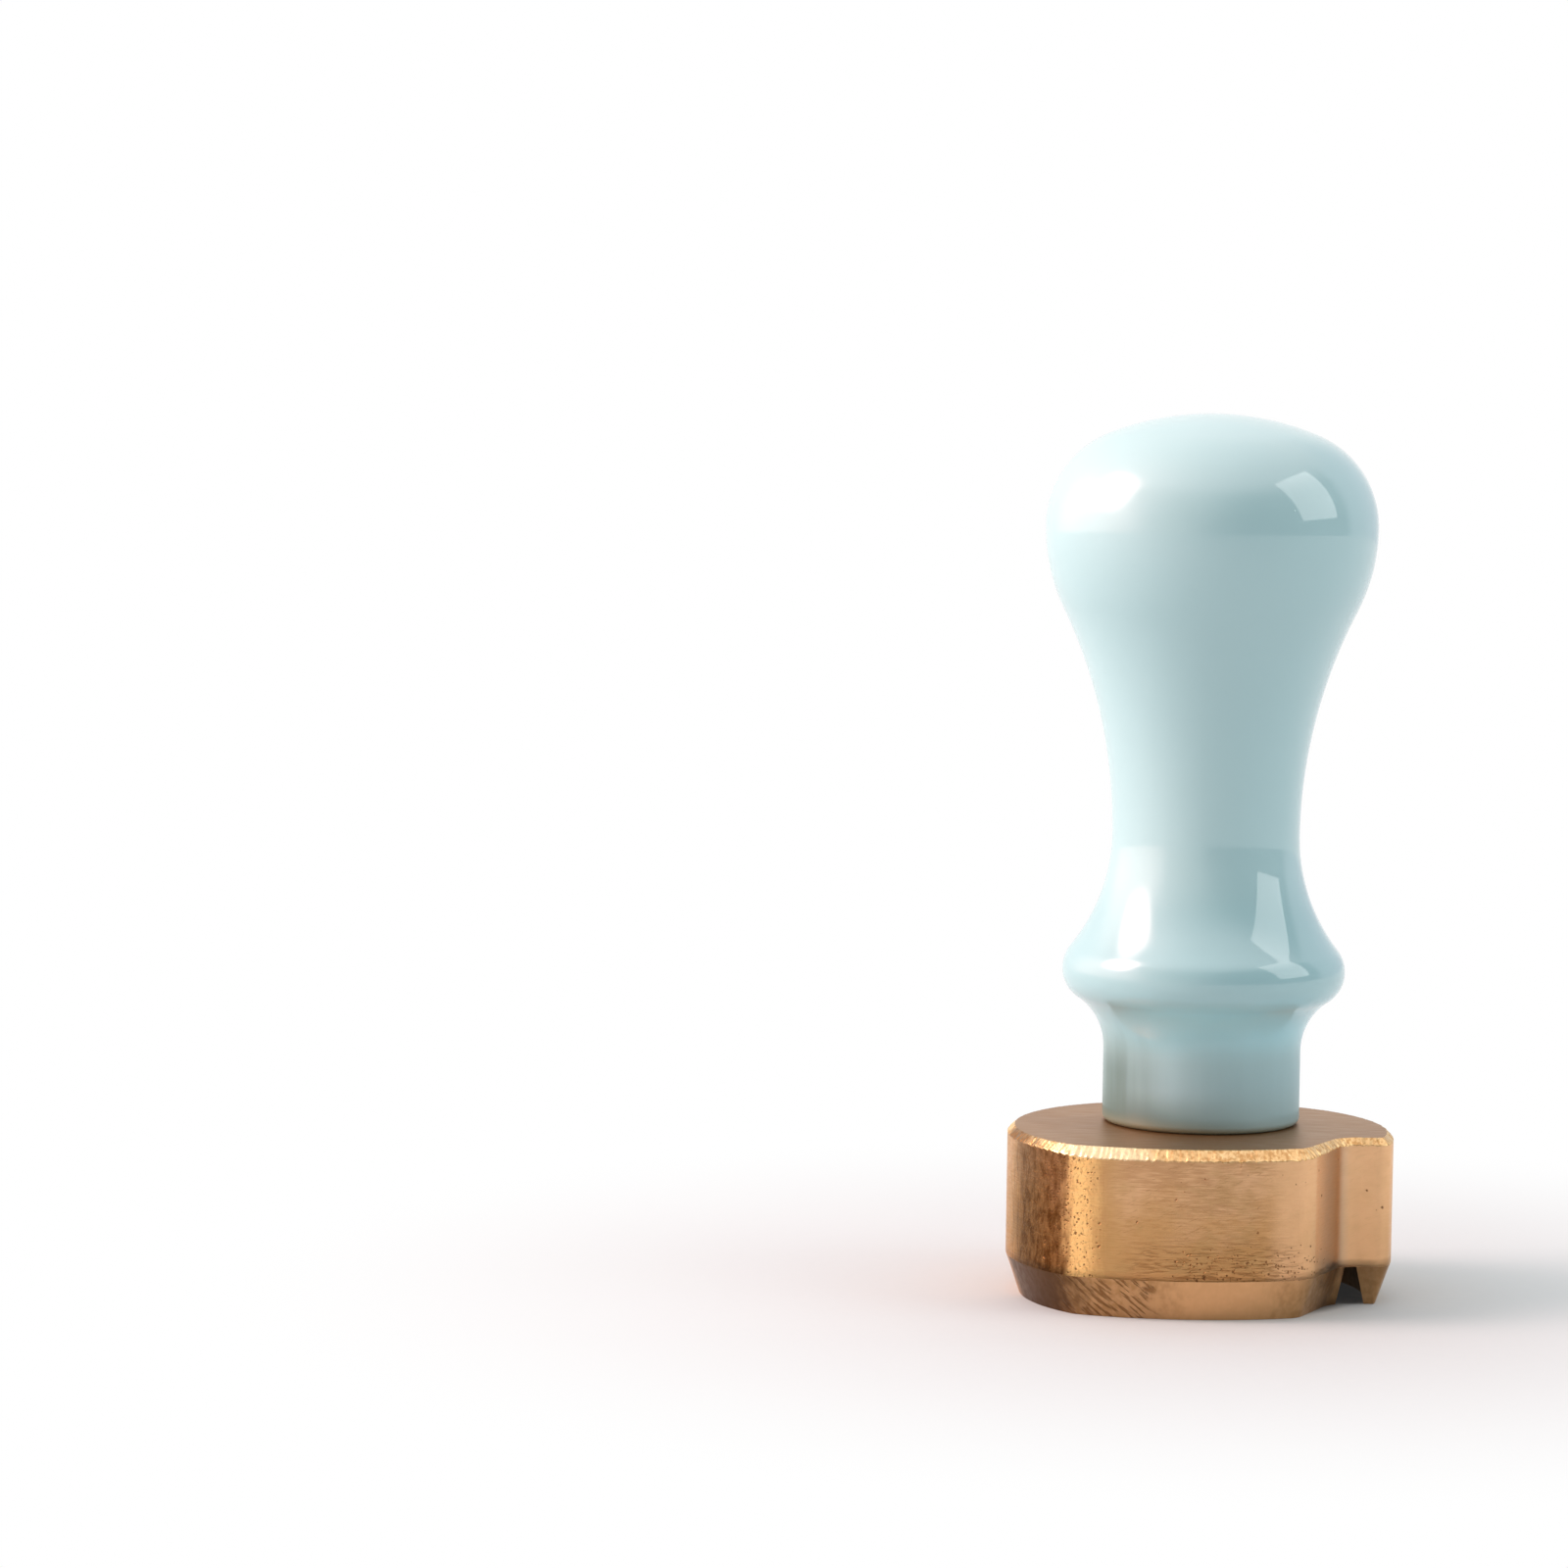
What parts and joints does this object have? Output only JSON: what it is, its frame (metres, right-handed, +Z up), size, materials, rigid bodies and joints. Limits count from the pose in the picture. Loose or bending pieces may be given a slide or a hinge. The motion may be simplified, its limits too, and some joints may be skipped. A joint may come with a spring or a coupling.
{
  "type": "clay stamp",
  "caption": "Hand stamp for clay: turned lacquered handle unscrews from a brass die with a bevelled relief face.",
  "frame": {"origin": "middle of the floor that the whole stamp covers, z = 0 at the stamping face; the handle's axis stands 1.875 mm behind it", "axes": "+Z up along the handle, -Y the front of the stamp, +X to the right seen from the front"},
  "size_m": [0.0381, 0.0366, 0.0871],
  "materials": {
    "brass": "machined, satin, lightly pitted",
    "lacquered_wood": "pale aqua gloss lacquer",
    "plated_steel": "zinc plated thread"
  },
  "bodies": {
    "die": {"die": "brass"},
    "hanger_bolt": {"hanger_bolt": "plated_steel"},
    "handle": {"handle": "lacquered_wood"}
  },
  "joints": [
    {"name": "stud_lift", "type": "slide", "parent": "die", "child": "hanger_bolt", "axis": [0, 0, 1], "range_m": [0, 0.009]},
    {"name": "handle_turn", "type": "hinge", "parent": "hanger_bolt", "child": "handle", "pos_m": [0, 0.00187, 0.0166], "axis": [0, 0, 1], "range_deg": [0, 3240]}
  ],
  "couplings": [
    {"joint": "stud_lift", "follows": "handle_turn", "m_per_rad": 0.00015915}
  ]
}
